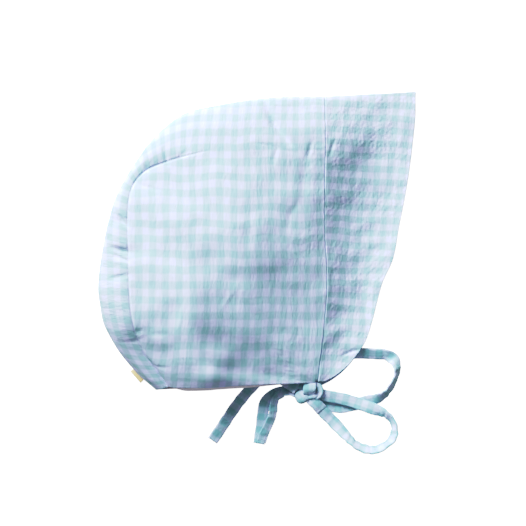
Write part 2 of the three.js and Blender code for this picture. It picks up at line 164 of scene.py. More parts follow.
# The hood's sections, fanned from the chin corners: the first is the neck edge, the last the front seam.
# The first two numbers are the fold of the outline and the next two the upper seam of the back strip, as
# shares of HOOD_DEPTH and HOOD_HEIGHT. The last four are heights as shares of LAID_HEIGHT: near the chin,
# mid side, at the seam and at the outline. Towards the nape they are up to 2 mm off the solids'.
SECTIONS = np.array([
    [-0.745, -0.03, -0.682, -0.015, 0.37, 0.5, 0.44, 0.24],
    [-0.844, 0.04, -0.73, 0.035, 0.41, 0.62, 0.52, 0.3],
    [-0.932, 0.13, -0.794, 0.111, 0.45, 0.71, 0.63, 0.4],
    [-0.988, 0.236, -0.842, 0.229, 0.54, 0.82, 0.84, 0.57],
    [-0.997, 0.347, -0.855, 0.34, 0.62, 0.91, 0.92, 0.71],
    [-0.978, 0.458, -0.858, 0.444, 0.685, 0.96, 0.94, 0.78],
    [-0.944, 0.576, -0.862, 0.556, 0.737, 0.983, 0.95, 0.82],
    [-0.894, 0.681, -0.848, 0.664, 0.775, 0.992, 0.95, 0.85],
    [-0.811, 0.783, -0.79, 0.731, 0.785, 0.99, 0.95, 0.84],
    [-0.708, 0.876, -0.689, 0.766, 0.77, 0.98, 0.94, 0.79],
    [-0.601, 0.938, -0.579, 0.79, 0.72, 0.96, 0.94, 0.73],
    [-0.447, 0.965, -0.438, 0.814, 0.65, 0.91, 0.91, 0.67],
    [-0.283, 0.988, -0.278, 0.826, 0.57, 0.79, 0.84, 0.59],
    [-0.128, 0.997, -0.123, 0.823, 0.49, 0.65, 0.73, 0.5],
    [0.032, 1.0, 0.034, 0.813, 0.42, 0.52, 0.61, 0.42],
])
OUTLINE = SECTIONS[:, :2] * (HOOD_DEPTH, HOOD_HEIGHT)
OUTLINE_STEPS = np.concatenate([[0], np.cumsum(np.linalg.norm(np.diff(OUTLINE, axis=0), axis=1))])
SECTION_AT = OUTLINE_STEPS / OUTLINE_STEPS[-1]

# Places of the control points along a section: 0 is the upper chin corner and 1 the lower.
SEAM, SHOULDER, FOLD = 0.39, 0.47, 0.535
ALONG = [0, 0.175, 0.275, SEAM, SHOULDER, FOLD, 0.575, 0.62, 0.79, 0.885, 1]

# Shares of the way between two control points, for the points between them.
CHIN_SHARE, MID_SHARE, ROUND, HEEL_SHARE = 0.45, 0.7, 0.707, 0.3
TURN_INSET = 0.105
FRONT_BOW, BOW_FROM = 0.029, 0.7
CHIN_UPPER = np.array([0, 0, 0.2 * LAID_HEIGHT])
CHIN_LOWER = np.array([-0.012 * HOOD_DEPTH, 0.01 * HOOD_HEIGHT, 0])

# The strip's lower seam along a section: its place at the nape, how far it drifts round the hood, its limit.
LOWER_SEAM = {"nape": 0.47, "drift": 0.24, "limit": 0.58}


def control_points(rounds):
    """The control points of the sections at these places round the hood, as (11, len(rounds), 3)."""
    columns = interpolate(SECTION_AT, SECTIONS, rounds).T
    back_x, back_y, seam_x, seam_y, chin_z, mid_z, seam_z, fold_z = columns
    fold = np.stack([back_x * HOOD_DEPTH, back_y * HOOD_HEIGHT, fold_z * LAID_HEIGHT], -1)
    seam = np.stack([seam_x * HOOD_DEPTH, seam_y * HOOD_HEIGHT, seam_z * LAID_HEIGHT], -1)
    bow = np.zeros_like(fold)
    bow[:, 0] = FRONT_BOW * smooth_step(BOW_FROM, 1, rounds) * HOOD_DEPTH

    def between(a, b, share, height):
        point = a + (b - a) * np.reshape(share, (-1, 1))
        point[:, 2] = height
        return point

    upper = np.broadcast_to(CHIN_UPPER, fold.shape)
    lower = np.broadcast_to(CHIN_LOWER, fold.shape)
    inward = np.hypot(*(CHIN_LOWER[:2, None] - fold[:, :2].T))
    turn = between(fold, lower, TURN_INSET * HOOD_DEPTH / inward, 0)
    height = fold[:, 2]
    return np.stack([
        upper,
        between(upper, seam, CHIN_SHARE, chin_z * LAID_HEIGHT) + bow,
        between(upper, seam, MID_SHARE, mid_z * LAID_HEIGHT) + bow * (1 - MID_SHARE),
        seam,
        between(seam, fold, ROUND, mix(height, seam[:, 2], ROUND)),
        fold,
        between(fold, turn, HEEL_SHARE, height * HEEL_SHARE),
        turn,
        between(turn, lower, CHIN_SHARE, 0) + bow * (1 - MID_SHARE),
        between(turn, lower, MID_SHARE, 0) + bow,
        lower,
    ])


def smooth_hood(rounds, alongs):
    """The cloth without seams or folds, as (len(alongs), len(rounds), 3) in millimetres from the chin."""
    points = interpolate(ALONG, control_points(rounds), alongs)
    points[..., 2] = np.maximum(points[..., 2], 0)
    return points


def upper_share(alongs):
    """1 on the upper side, fading to 0 round the fold of the outline."""
    return 1 - smooth_step(SHOULDER + 0.03, FOLD + 0.02, alongs)


def grid_normals(points, alongs, rounds):
    across = np.gradient(points, rounds, axis=1)
    forward = np.gradient(points, alongs, axis=0)
    return unit(np.cross(across, forward))


# Folds of the upper side as the picture shows them, in its units: from (x, y) to (x2, y2), the sideways bend
# of the line between them, the width, how the width leans to one side (-1 to 1), and the depth in
# millimetres, where a negative depth is a ridge.
HOOD_FOLDS = [
    # the side below the top seam
    (266, 104, 290, 143, 1, 3.6, 0.4, 2.5),
    (254, 143, 275, 146, 0, 1.5, 0, 0.18),
    (284, 150, 301, 153, 0, 1.5, 0, 0.2),
    (277, 148, 273, 164, 0, 1.7, 0.2, 0.7),
    (311.5, 143, 308, 158, 0, 1.7, 0.3, 1.0),
    (307, 158, 303, 202, 1, 6, 0, 1.1),
    (300, 200, 287, 230, 2, 3.2, 0.2, 0.4),
    (323, 170, 323, 275, 0, 10, 0, 1.2),
    (238, 284, 222, 308, 0, 1.6, 0.3, -0.28),
    (184, 306, 178, 333, 0, 1.6, 0.3, -0.3),
    (332, 372, 286, 378, 0, 9, 0, -0.4),
    (320, 345, 315, 380, 0, 12, 0, -0.8),
    (252, 205, 246, 255, 0, 7, 0, 0.7),
    (175, 215, 265, 168, 0, 26, 0, -1.3),
    # the rise of the side towards the nape
    (286, 240, 224, 312, 0, 28, 0, -1.3),
    # the corner at the nape
    (203, 396, 233, 338, -2, 15, 0, -1.9),
    (177, 298, 173, 346, 3, 8, 0, 0.7),
    (100, 340, 150, 331, 0, 16, 0, -1.3),
    (150, 334, 167, 333, 0, 1.6, 0.4, 0.3),
    (152, 366, 168, 367, 0, 1.7, 0.4, 0.4),
    (119, 340, 144, 337, 2, 1.6, 0.5, 0.5),
    (143, 354, 166, 387, -2, 1.8, 0.3, 0.9),
    # puckers of the back strip
    (112, 253, 146, 251, 0, 6, 0, 0.9),
    (110, 221, 131, 221, 0, 5, 0, 0.7),
    (109, 246, 128, 251, 0, 2.2, 0.5, 1.2),
    (114, 255, 129, 261, 0, 1.8, 0.4, 1.1),
    (118, 213, 127, 226, 1, 1.8, 0.3, 1.0),
    (110, 278, 127, 275, 0, 2.4, 0.3, 0.9),
    (164, 149, 168.5, 164, 0, 1.7, 0.4, 1.0),
    (145, 163, 149, 172, 0, 1.7, 0.4, 0.8),
    (178, 158, 188, 150, 0, 2.2, 0, 0.4),
    (137, 183, 162, 190, 1, 1.5, 0, 0.4),
    (136, 332, 142, 330, 0, 1.6, 0, 0.8),
]
BRIM_FOLDS = [
    (334, 142, 329, 157, 0, 1.7, 0.3, 1.0),
    (327.5, 158, 327.5, 205, 0, 1.3, 0, -0.35),
    (398, 96, 376, 150, 0, 12, 0, 0.6),
    (381, 130, 361, 252, 2, 23, 0, 1.8),
    (363, 240, 358, 325, 0, 18, 0, 1.8),
    (362, 290, 368, 335, 0, 5, 0, 0.9),
    (343, 356, 362, 350, -1, 1.6, -0.4, 0.9),
    (330, 345, 352, 330, 0, 6, 0, 0.6),
]


def fold_depth(x, y, folds, softest=0.0):
    """How deep the folds draw the cloth in at places of the picture. softest is the least width to use."""
    total = np.zeros_like(x)
    for x0, y0, x1, y1, bend, wide, lean, deep in folds:
        length = math.hypot(x1 - x0, y1 - y0)
        way_x, way_y = (x1 - x0) / length, (y1 - y0) / length
        share = ((x - x0) * way_x + (y - y0) * way_y) / length
        inside = np.clip(share, 0, 1)
        side = (y - y0) * way_x - (x - x0) * way_y - bend * 4 * inside * (1 - inside)
        past = (share - inside) * length
        width = np.maximum(wide * np.where(side > 0, 1 + lean, 1 - lean), softest)
        fade = np.sin(math.pi * np.clip(0.12 + 0.76 * inside, 0, 1))
        total += deep * fade * np.exp(-((side / width) ** 2) - (past / max(wide, 2.0)) ** 2)
    return total


SHELL_WALL = 0.7
EDGE_ROLL = 0.7

# The strip's seams: where they fade out round the hood, and the widths of the soft dip and of the groove.
SEWN_UNTIL = (0.67, 0.77)
DIP_WIDTH, GROOVE_WIDTH = 3.0, 0.7

# The seams pucker most where the strip turns over the crown, and at the nape: the places round the hood and
# how far the puckers reach.
CROWN_AT, CROWN_REACH, NAPE_REACH = 0.56, 0.09, 0.12

# How far the cloth below the lower seam lies in from the strip at the nape, and how deep the crinkles are.
NAPE_STEP = 0.9
CRINKLE_DEPTH = 0.042


def edge_roll(distance, radius):
    """How far a turned edge falls away at a distance from it."""
    u = np.clip(1 - distance / radius, 0, 1)
    return radius * (1 - np.sqrt(1 - u * u))


def hood_relief(points, rounds, alongs, lower, seams, edges, softest):
    """How far seams, folds and creases draw the hood's cloth in, in millimetres. lower holds the places of
    the strip's lower seam. With a softest width above 0, only what is broad is kept, as for the lining."""
    x, y = seen(points)
    upper = upper_share(alongs)[:, None]
    relief = upper * fold_depth(x, y, HOOD_FOLDS, softest)
    sewn = (1 - smooth_step(*SEWN_UNTIL, rounds))[None, :]
    crown = np.exp(-(((rounds - CROWN_AT) / CROWN_REACH) ** 2))
    drawn = 0.25 + 0.6 * crown + 0.6 * np.exp(-((rounds / NAPE_REACH) ** 2))
    for line in seams:
        distance = np.linalg.norm(points - line, axis=-1)
        relief += sewn * drawn * 0.8 * np.exp(-((distance / DIP_WIDTH) ** 2))
        if not softest:
            relief += sewn * (0.25 + 0.5 * drawn) * np.exp(-((distance / GROOVE_WIDTH) ** 2))
    beyond = smooth_step(0, 0.02, alongs[:, None] - lower[None, :])
    relief += NAPE_STEP * beyond * (1 - smooth_step(0.18, 0.3, rounds))[None, :]
    if not softest:
        for line in edges:
            relief += edge_roll(np.linalg.norm(points - line, axis=-1), EDGE_ROLL)
        # The right half is crinkled more than the left.
        right = smooth_step(235, 300, x)
        patches = 0.65 + 0.35 * waves(x, y, 60, 5)
        crinkle = waves(x, y, 4.6, 2, way=-0.7, spread=1.3) + 0.6 * waves(x, y, 9, 6, way=-0.8, spread=1.0)
        relief += upper * CRINKLE_DEPTH * mix(0.35, 1, right) * patches * crinkle
    relief += upper * (0.3 * waves(x, y, 62, 3) + 0.12 * waves(x, y, 27, 4))
    return relief


def hood_cloth(rounds, alongs, inside=0.0, softest=0.0):
    """The creased cloth on a grid, that far inside its outer face, and the grid's normals."""
    smooth = smooth_hood(rounds, alongs)
    normals = grid_normals(smooth, alongs, rounds)
    lower = np.minimum(LOWER_SEAM["limit"], LOWER_SEAM["nape"] + LOWER_SEAM["drift"] * rounds)
    controls = control_points(rounds)
    lower_points = np.stack([
        interpolate(ALONG, controls[:, k], [lower[k]])[0] for k in range(len(rounds))
    ])
    seams = (smooth_hood(rounds, [SEAM])[0][None], lower_points[None])
    edges = [smooth_hood(np.array([end]), alongs) for end in (0.0, 1.0)]
    relief = hood_relief(smooth, rounds, alongs, lower, seams, edges, softest)
    points = smooth - normals * (relief + inside)[..., None]
    points[..., 2] = np.maximum(points[..., 2], inside)
    return points, normals, smooth


def spaced(start, stop, count, lines, steps):
    """About count even places from start to stop, an odd number, with more of them beside the lines."""
    even = np.linspace(start, stop, count)
    extra = [line + side * step for line in lines for step in steps for side in (-1, 1)]
    places = np.unique(np.concatenate([even, np.clip(extra, start, stop)]).round(6))
    keep = np.concatenate([[True], np.diff(places) > 0.15 * min(s for s in steps if s > 0)])
    keep[-1] = True
    places = places[keep]
    return places if len(places) % 2 else np.delete(places, len(places) // 2)


def faces_of_grid(rows, columns, start, flip=False):
    index = start + np.arange(rows * columns).reshape(rows, columns)
    corners = [index[:-1, :-1], index[1:, :-1], index[1:, 1:], index[:-1, 1:]]
    return np.stack(corners[::-1] if flip else corners, -1).reshape(-1, 4)


def make_object(name, points, faces, checks, material, nodes):
    """A mesh piece from points in millimetres from the chin. checks holds a pattern place for each corner of
    each face."""
    mesh = bpy.data.meshes.new(name)
    mesh.from_pydata((points * MM + CHIN).tolist(), [], faces)
    layer = mesh.uv_layers.new(name="check")
    layer.data.foreach_set("uv", np.asarray(checks, np.float32).ravel())
    mesh.polygons.foreach_set("use_smooth", [True] * len(mesh.polygons))
    mesh.materials.append(material)
    mesh.update()
    piece = bpy.data.objects.new(name, mesh)
    bpy.context.scene.collection.objects.link(piece)
    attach(piece, BODY)
    if nodes:
        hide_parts(*nodes)
    return piece


def sheet_piece(name, outer, inner, below, above, split, material, nodes, step=1):
    """A closed sheet of cloth from its two faces, where inner has every step-th row and column of outer. The
    pattern's places are those of below up to the row split, and those of above from there on."""
    rows, columns = outer.shape[:2]

    def corners(grid):
        return np.stack([grid[:-1, :-1], grid[1:, :-1], grid[1:, 1:], grid[:-1, 1:]], 2)

    def places(skip):
        low, high = corners(below[::skip, ::skip]), corners(above[::skip, ::skip])
        row = np.arange(low.shape[0])[:, None, None, None] * skip
        return np.where(row < split, low, high).reshape(-1, 4, 2)

    count = rows * columns
    inner_index = count + np.arange(inner.shape[0] * inner.shape[1]).reshape(inner.shape[:2])
    outer_index = np.arange(count).reshape(rows, columns)
    faces = faces_of_grid(rows, columns, 0).tolist()
    faces += faces_of_grid(*inner.shape[:2], count, flip=True).tolist()
    checks = [places(1).reshape(-1, 2), places(step)[:, ::-1].reshape(-1, 2)]
    flat = below.reshape(-1, 2)

    # Each rim joins an edge of outer to the same edge of inner.
    rims = [
        (outer_index[0], inner_index[0], True),
        (outer_index[-1], inner_index[-1], False),
        (outer_index[:, 0], inner_index[:, 0], False),
        (outer_index[:, -1], inner_index[:, -1], True),
    ]
    for fine, coarse, flip in rims:
        for k in range(len(coarse) - 1):
            run = fine[k * step:(k + 1) * step + 1].tolist()
            face = run + [int(coarse[k + 1]), int(coarse[k])]
            at = run + [run[-1], run[0]]
            if not flip:
                face, at = face[::-1], at[::-1]
            faces.append(face)
            checks.append(flat[at])
    points = np.concatenate([outer.reshape(-1, 3), inner.reshape(-1, 3)])
    return make_object(name, points, faces, np.concatenate(checks), material, nodes)


# The check's places. One unit is one coloured band and one white band. On the side, in units of the picture,
# the columns stand wider left of COLUMN_TURN than right of it, and lean a little below LEAN_FROM.
COLUMN_TURN, LEAN_FROM, ROWS_FROM = 247, 310, 377
LEFT_COLUMNS, RIGHT_COLUMNS, SIDE_ROWS = 13.55, 12.1, 15.35
BRIM_FROM, BRIM_COLUMNS, BRIM_ROWS = (329, 104), 12.2, 12.8

# Millimetres of cloth to a unit past the strip's seam and on the strip. The strip's own pattern runs along
# the outline, and it meets the one over the crown at STRIP_JOINT round the hood.
SIDE_REPEAT = (8.45, 9.4)
STRIP_REPEAT = (8.5, 8.6)
STRIP_JOINT = 0.78


def cloth_drift(x, y):
    """How the soft weave strays from straight lines."""
    return np.stack([
        0.04 * waves(x, y, 60, 21) + 0.018 * waves(x, y, 21, 22),
        0.04 * waves(x, y, 60, 23) + 0.018 * waves(x, y, 21, 24),
    ], -1)


def side_check(points):
    """The pattern over the side, which the picture shows nearly square on."""
    x, y = seen(points)
    right = x - COLUMN_TURN
    columns = np.where(right < 0, right / LEFT_COLUMNS, right / RIGHT_COLUMNS)
    columns = columns + 0.06 * np.maximum(y - LEAN_FROM, 0) / 12
    rows = (ROWS_FROM - y) / SIDE_ROWS
    return np.stack([columns, rows], -1) + cloth_drift(x, y)


def hood_checks(smooth, rounds, alongs):
    """The pattern on both sides of the strip's seam, as two grids, and the seam's row. Past the seam the
    pattern runs on from the side over the crown, and along the outline lower down."""
    below = side_check(smooth)
    seam_row = int(np.argmin(np.abs(alongs - SEAM)))
    steps = np.linalg.norm(np.diff(smooth, axis=0), axis=-1)
    length = np.concatenate([np.zeros((1, len(rounds))), np.cumsum(steps, axis=0)])
    past = length - length[seam_row]
    line = smooth[seam_row] - smooth[max(seam_row - 8, 0)]
    way = unit(line[:, :2])
    onward = below[seam_row][None] + past[..., None] * (way / SIDE_REPEAT)[None]
    fold_row = int(np.argmin(np.abs(alongs - FOLD)))
    outline = smooth[fold_row]
    run = np.linalg.norm(np.diff(outline[:, :2], axis=0), axis=-1)
    behind = np.concatenate([np.cumsum(run[::-1])[::-1], [0]])
    joint = int(np.argmin(np.abs(rounds - STRIP_JOINT)))
    strip = np.stack([np.broadcast_to(-behind / STRIP_REPEAT[0], past.shape), past / STRIP_REPEAT[1]], -1)
    strip = strip + (onward[fold_row, joint] - strip[fold_row, joint])
    strip_share = (1 - smooth_step(0.58, 0.76, rounds))[None, :, None]
    above = mix(onward, strip, strip_share)
    return below, above, seam_row


# Extra places beside the front seam and the neck edge, and beside the strip's seam, where the form turns
# fast.
EDGE_STEPS = (0.0, 0.0004, 0.0009, 0.0016, 0.0026, 0.004)
SEAM_STEPS = (0.0, 0.0009, 0.0022, 0.004, 0.0065)


def make_hood(material):
    rounds = spaced(0, 1, 287, (0, 1), EDGE_STEPS)
    alongs = np.concatenate([
        spaced(0.004, FOLD + 0.03, 193, (SEAM,), SEAM_STEPS),
        np.linspace(FOLD + 0.03, 0.996, 41)[1:],
    ])
    alongs = alongs if len(alongs) % 2 else np.delete(alongs, 20)
    points, normals, smooth = hood_cloth(rounds, alongs)
    inner = (points - normals * SHELL_WALL)[::2, ::2]
    inner[..., 2] = np.maximum(inner[..., 2], SHELL_WALL)
    below, above, seam_row = hood_checks(smooth, rounds, alongs)
    return sheet_piece(
        "hood_cloth", points, inner, below, above, seam_row, material, ["hood_shell"], 2
    )


# The lining takes only the folds' broad forms, none of them narrower than SOFTEST.
LINING_WALL = 0.5
SOFTEST = 5.0

# Where along a section the lining's roll past the neck edge begins, and the stretch over which it ends.
ROLL_BEGINS = (0.02, 0.27)
ROLL_FADE = 0.05


def make_lining(material):
    rounds = spaced(0, 1, 121, (0,), (0.0, 0.001, 0.003))
    alongs = np.linspace(0.006, 0.994, 131)
    points, normals, _ = hood_cloth(rounds, alongs, SHELL_WALL + CLEARANCE, SOFTEST)
    onward = unit(points[:, 0] - points[:, 1])
    share = smooth_step(*ROLL_BEGINS, alongs) * (1 - smooth_step(SEAM - ROLL_FADE, SEAM, alongs))
    points[:, 0] += onward * (LINING_ROLL * share)[:, None]
    points[:, 1] += onward * (LINING_ROLL * share)[:, None] * 0.8
    inner = points - normals * LINING_WALL
    inner[:, 0] = points[:, 0] - normals[:, 0] * 0.1
    checks = side_check(points)
    return sheet_piece("hood_lining", points, inner, checks, checks, 0, material, ["lining"])


# The brim's free edge against its seam: place along the front from the chin (0) to the fold over the top
# (1), reach forward as a share of BRIM_WIDTH, rise as a share of HOOD_HEIGHT, height as a share of
# LAID_HEIGHT, and how soon the brim falls to that height: 1 is a straight slope, more is steeper by the
# seam.
BRIM_EDGE = np.array([
    [0, 0.066, 0.002, 0.19, 1.3],
    [0.045, 0.205, -0.021, 0.19, 1.6],
    [0.107, 0.343, -0.042, 0.18, 2.0],
    [0.17, 0.457, -0.047, 0.185, 2.2],
    [0.234, 0.514, -0.043, 0.19, 2.3],
    [0.293, 0.555, -0.042, 0.19, 2.3],
    [0.355, 0.616, -0.041, 0.2, 2.3],
    [0.422, 0.741, -0.031, 0.2, 2.3],
    [0.523, 0.828, -0.014, 0.19, 2.1],
    [0.611, 0.893, -0.007, 0.18, 1.8],
    [0.729, 0.953, 0, 0.17, 1.5],
    [0.879, 0.996, 0.007, 0.16, 1.3],
    [1, 1, 0.0226, 0.13, 1.3],
])
# The brim's lower half is set in by this share of BRIM_WIDTH and of HOOD_HEIGHT, so that the upper half
# hides it.
LOWER_BRIM_INSET = 0.03
BRIM_WALL = 1.5
SEAM_GAP = 0.15
BRIM_STEPS = (0.0, 0.004, 0.009, 0.016, 0.028)
BRIM_CRINKLE_DEPTH = 0.052


def brim_cloth(alongs, outs, inside):
    """The brim's cloth on a grid of places along its seam and out from it."""
    rounds = np.array([0.998, 1.0])
    base = smooth_hood(rounds, alongs)
    normal = grid_normals(base, alongs, rounds)[:, -1]
    smooth = base[:, -1]
    x, y = seen(smooth)
    upper = alongs <= FOLD
    seam = smooth - normal * (upper_share(alongs) * fold_depth(x, y, HOOD_FOLDS, SOFTEST) + inside)[:, None]
    seam[:, 2] = np.maximum(seam[:, 2], SEAM_GAP + inside)
    at = np.where(upper, alongs / FOLD, (1 - alongs) / (1 - FOLD))
    reach, rise, height, soon = interpolate(BRIM_EDGE[:, 0], BRIM_EDGE[:, 1:], at).T
    inset = np.where(upper, 0, LOWER_BRIM_INSET * smooth_step(0, 0.3, 1 - at))
    edge = smooth.copy()
    edge[:, 0] += (reach - inset) * BRIM_WIDTH
    edge[:, 1] += (rise - inset) * HOOD_HEIGHT
    top_height = smooth_hood(np.array([1.0]), [FOLD])[0, 0, 2]
    turned = smooth[:, 2] / top_height * BRIM_EDGE[-1, 3]
    edge[:, 2] = np.where(upper, height, turned) * LAID_HEIGHT
    edge -= normal * inside
    start = seam + unit(edge - seam) * SEAM_GAP
    fall = 1 - (1 - outs[None]) ** soon[:, None]
    flat = mix(start[:, None, :2], edge[:, None, :2], outs[None, :, None])
    high = mix(start[:, None, 2], edge[:, None, 2], fall)
    return np.concatenate([flat, high[..., None]], -1)


def brim_check(points):
    """The pattern over the brim, a little aslant as the picture shows it."""
    x, y = seen(points)
    columns = (x - BRIM_FROM[0] + 0.1 * (y - 165)) / BRIM_COLUMNS
    rows = (BRIM_FROM[1] - y + 0.05 * (x - 350)) / BRIM_ROWS
    return np.stack([columns, rows], -1) + cloth_drift(x, y)


def make_brim(material):
    alongs = np.concatenate([np.linspace(0.002, FOLD + 0.02, 261), np.linspace(FOLD + 0.02, 0.998, 71)[1:]])
    outs = spaced(0, 1, 91, (0, 1), BRIM_STEPS)
    top = brim_cloth(alongs, outs, 0.0)
    bottom = brim_cloth(alongs, outs, BRIM_WALL)
    normals = unit(np.cross(np.gradient(top, axis=1), np.gradient(top, axis=0)))
    x, y = seen(top)
    shown = upper_share(alongs)[:, None]
    broad = shown * (fold_depth(x, y, BRIM_FOLDS) + 0.2 * waves(x, y, 45, 12) + 0.12 * waves(x, y, 22, 13))
    patches = 0.7 + 0.3 * waves(x, y, 50, 15)
    fine = waves(x, y, 4.4, 14, way=-0.8, spread=1.2) + 0.6 * waves(x, y, 9, 16, way=-0.8, spread=1.0)
    fine *= shown * BRIM_CRINKLE_DEPTH * patches
    tie_in = smooth_step(0, 0.1, outs)[None, :]
    top = top - normals * ((broad * tie_in) + fine * smooth_step(0, 0.03, outs))[..., None]
    bottom = bottom - normals * (broad * tie_in)[..., None]
    middle = (top + bottom) / 2
    for end, least in ((0, 0.5), (-1, 0.0)):
        distance = np.linalg.norm(top - top[:, end][:, None], axis=-1)
        u = np.clip(1 - distance / (BRIM_WALL / 2), 0, 1)
        pinch = mix(least, 1, np.sqrt(1 - u * u))[..., None]
        top = middle + (top - middle) * pinch
        bottom = middle + (bottom - middle) * pinch
    top[..., 2] = np.maximum(top[..., 2], 0.2)
    bottom[..., 2] = np.maximum(bottom[..., 2], 0.1)
    top, bottom, checks = (grid[::-1] for grid in (top, bottom, brim_check(top)))
    return sheet_piece("brim_cloth", top, bottom, checks, checks, 0, material, ["brim"])


# Materials.
class Shader:
    """A node material, built in a few words."""

    def __init__(self, name):
        self.material = bpy.data.materials.new(name)
        self.material.use_nodes = True
        self.tree = self.material.node_tree
        self.surface = self.tree.nodes["Principled BSDF"]

    def add(self, kind, settings=None, **inputs):
        node = self.tree.nodes.new("ShaderNode" + kind)
        for key, value in (settings or {}).items():
            setattr(node, key, value)
        for key, value in inputs.items():
            socket = node.inputs[int(key[1:])] if key[0] == "i" and key[1:].isdigit() else node.inputs[key]
            self.put(socket, value)
        return node

    def put(self, socket, value):
        if isinstance(value, bpy.types.NodeSocket):
            self.tree.links.new(value, socket)
        else:
            socket.default_value = value

    def math(self, operation, a, b=0.0):
        return self.add("Math", {"operation": operation}, i0=a, i1=b).outputs[0]

    def scale(self, value, by, plus, clamp=False):
        settings = {"operation": "MULTIPLY_ADD", "use_clamp": clamp}
        return self.add("Math", settings, i0=value, i1=by, i2=plus).outputs[0]

    def blend(self, share, a, b, kind="MIX"):
        node = self.add("Mix", {"data_type": "RGBA", "blend_type": kind})
        for socket, value in ((node.inputs[0], share), (node.inputs[6], a), (node.inputs[7], b)):
            self.put(socket, value)
        return node.outputs[2]

    def noise(self, vector, scale, detail):
        return self.add("TexNoise", Vector=vector, Scale=scale, Detail=detail).outputs["Fac"]

    def bump(self, height, strength, distance, under=None):
        node = self.add("Bump", Strength=strength, Distance=distance, Height=height)
        if under is not None:
            self.put(node.inputs["Normal"], under)
        return node.outputs["Normal"]

    def finish(self, colour, normal, roughness, sheen):
        self.put(self.surface.inputs["Base Color"], colour)
        self.put(self.surface.inputs["Normal"], normal)
        self.put(self.surface.inputs["Roughness"], roughness)
        self.surface.inputs["Specular IOR Level"].default_value = 0.25
        self.surface.inputs["Sheen Weight"].default_value = sheen
        self.surface.inputs["Sheen Roughness"].default_value = 0.6
        return self.material


WHITE = (0.505, 0.58, 0.925, 1)
MINT = (0.252, 0.452, 0.55, 1)
# The ties' check is greener than the hood's and darker. The darkening is painted shade for the bonnet's
# shadow that falls over the ties.
TIE_WHITE_SHADED = (0.43, 0.54, 0.80, 1)
TIE_MINT_SHADED = (0.18, 0.41, 0.49, 1)
LINING_COLOUR = (0.80, 0.78, 0.90, 1)
GOLD, GOLD_RIB = (0.83, 0.66, 0.3, 1), (0.9, 0.76, 0.42, 1)

# Yarns and ribbon ribs to a unit of the pattern, and how sharply the bands start and end.
YARNS, RIBS = 22, 16
CRISPNESS = 1.25


def cloth_weave(shader):
    """The pattern's place, the weave's height and soft stains of light and dark."""
    place = shader.add("UVMap", {"uv_map": "check"}).outputs["UV"]
    parts = shader.add("SeparateXYZ", Vector=place).outputs
    threads = [
        shader.math("SINE", shader.math("MULTIPLY", parts[k], 2 * math.pi * YARNS)) for k in (0, 1)
    ]
    weave = shader.math("MULTIPLY", *threads)
    spots = shader.noise(place, 0.9, 3.0)
    return place, parts, weave, spots


def crinkle_bump(shader, weave, place):
    """Fine slanting crinkles of the washed cotton, with the weave on top."""
    turned = shader.add("Mapping", Vector=place)
    turned.inputs["Rotation"].default_value = (0, 0, 0.7)
    turned.inputs["Scale"].default_value = (3.4, 1.1, 1)
    crinkle = shader.noise(turned.outputs[0], 1.6, 3.0)
    base = shader.bump(crinkle, 0.5, 0.0006)
    return shader.bump(weave, 0.25, 0.00008, base)


def gingham(name, white=WHITE, mint=MINT, rows=0.5):
    """The check. rows is how much of the tint the bands along the rows give; the columns give the rest."""
    shader = Shader(name)
    place, parts, weave, spots = cloth_weave(shader)
    turns = [shader.math("COSINE", shader.math("MULTIPLY", parts[k], 2 * math.pi)) for k in (0, 1)]
    bands = [shader.scale(turn, CRISPNESS, 0.5, clamp=True) for turn in turns]
    over = shader.scale(weave, 0.35, rows)
    dyed = shader.add("Mix", i0=over, i2=bands[0], i3=bands[1]).outputs[0]
    tint = shader.blend(shader.math("POWER", dyed, 0.72), white, mint)
    worn = shader.scale(spots, 0.16, 0.92)
    grey = shader.add("CombineColor", i0=worn, i1=worn, i2=worn).outputs[0]
    shade = shader.blend(1.0, tint, grey, "MULTIPLY")
    roughness = shader.scale(spots, 0.12, 0.8)
    return shader.finish(shade, crinkle_bump(shader, weave, place), roughness, 0.15)


def plain_cotton(name, colour):
    """Plain woven cotton, softly stained."""
    shader = Shader(name)
    place, _, weave, spots = cloth_weave(shader)
    darker = tuple(c * 0.93 for c in colour[:3]) + (1,)
    tint = shader.blend(spots, darker, colour)
    return shader.finish(tint, crinkle_bump(shader, weave, place), 0.9, 0.1)


def label_ribbon():
    """Plain ribbed gold ribbon."""
    shader = Shader("label")
    place = shader.add("UVMap", {"uv_map": "check"}).outputs["UV"]
    parts = shader.add("SeparateXYZ", Vector=place).outputs
    ribs = shader.math("SINE", shader.math("MULTIPLY", parts[0], 2 * math.pi * RIBS))
    tint = shader.blend(shader.scale(ribs, 0.5, 0.5), GOLD, GOLD_RIB)
    return shader.finish(tint, shader.bump(ribs, 0.3, 0.0001), 0.6, 0.0)


# Ties.
TIE_WIDTH = 7.5
TIE_WALL = 1.3
TIE_REPEAT = 8.3

